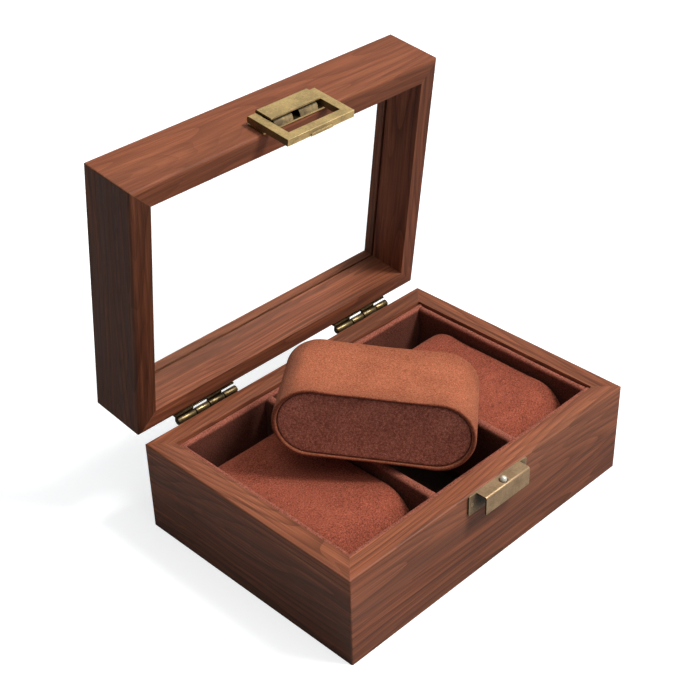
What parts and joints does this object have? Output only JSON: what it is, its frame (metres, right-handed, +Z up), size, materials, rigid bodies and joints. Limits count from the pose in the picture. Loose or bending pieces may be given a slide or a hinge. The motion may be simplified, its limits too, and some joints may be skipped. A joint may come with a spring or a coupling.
{
  "type": "watch box",
  "caption": "Open wooden watch box with a glazed lid, brass hinges and latch, suede lining, and watch cushions, one lying loose across the dividers.",
  "frame": {"origin": "centre of the underside", "axes": "+Z up, -Y towards the front with the catch, +X to the right as seen from the front"},
  "size_m": [0.2, 0.1877, 0.2044],
  "materials": {
    "walnut": "satin",
    "board": "matte",
    "felt": "matte",
    "lining_suede": "matte",
    "cushion_suede": "matte",
    "dark_suede": "matte",
    "foam": "matte",
    "glass": "polished",
    "antique_brass": "antique",
    "dark_brass": "antique",
    "bright_steel": "polished"
  },
  "bodies": {
    "case": {"case_front_wall": "walnut", "case_back_wall": "walnut", "case_left_wall": "walnut", "case_right_wall": "walnut", "bottom_panel": "board", "base_felt": "felt", "lining_floor": "dark_suede", "lining_front": "lining_suede", "lining_back": "lining_suede", "lining_left": "lining_suede", "lining_right": "lining_suede", "divider_left": "lining_suede", "divider_right": "lining_suede", "left_cushion_cover": "cushion_suede", "left_cushion_core": "foam", "left_cushion_ends": "dark_suede", "right_cushion_cover": "cushion_suede", "right_cushion_core": "foam", "right_cushion_ends": "dark_suede", "left_hinge_case_leaf": "antique_brass", "right_hinge_case_leaf": "antique_brass", "left_hinge_pin": "antique_brass", "right_hinge_pin": "antique_brass", "hinge_case_screws": "antique_brass", "catch_bracket": "antique_brass", "catch_spring": "bright_steel", "catch_brads": "antique_brass"},
    "lid": {"lid_front_wall": "walnut", "lid_back_wall": "walnut", "lid_left_wall": "walnut", "lid_right_wall": "walnut", "lid_glass": "glass", "left_hinge_lid_leaf": "antique_brass", "right_hinge_lid_leaf": "antique_brass", "hinge_lid_screws": "antique_brass", "latch_plate": "antique_brass", "latch_spring": "dark_brass", "latch_brads": "antique_brass"},
    "bail": {"latch_bail": "antique_brass", "latch_pivot_pin": "antique_brass"},
    "stud": {"catch_stud": "bright_steel"},
    "loose_cushion": {"loose_cushion_cover": "cushion_suede", "loose_cushion_core": "foam", "loose_cushion_ends": "dark_suede"}
  },
  "joints": [
    {"name": "lid_hinge", "type": "hinge", "parent": "case", "child": "lid", "pos_m": [0, 0.0745, 0.0515], "axis": [1, 0, 0], "range_deg": [0, 83]},
    {"name": "bail_pivot", "type": "hinge", "parent": "lid", "child": "bail", "pos_m": [0, 0.06701, 0.2011], "axis": [-1, 0, 0], "range_deg": [0, 100]},
    {"name": "stud_press", "type": "slide", "parent": "case", "child": "stud", "axis": [0, 0, 1], "range_m": [-0.0015, 0], "stiffness_N_per_m": 500, "deforming": ["catch_spring"]},
    {"name": "loose_cushion_out", "type": "hinge", "parent": "case", "child": "loose_cushion", "pos_m": [0, -0.08, 0.0483], "axis": [1, 0, 0], "range_deg": [0, 180]}
  ],
  "couplings": [
    {"joint": "loose_cushion_out", "follows": "lid_hinge", "ratio": 2.16}
  ]
}
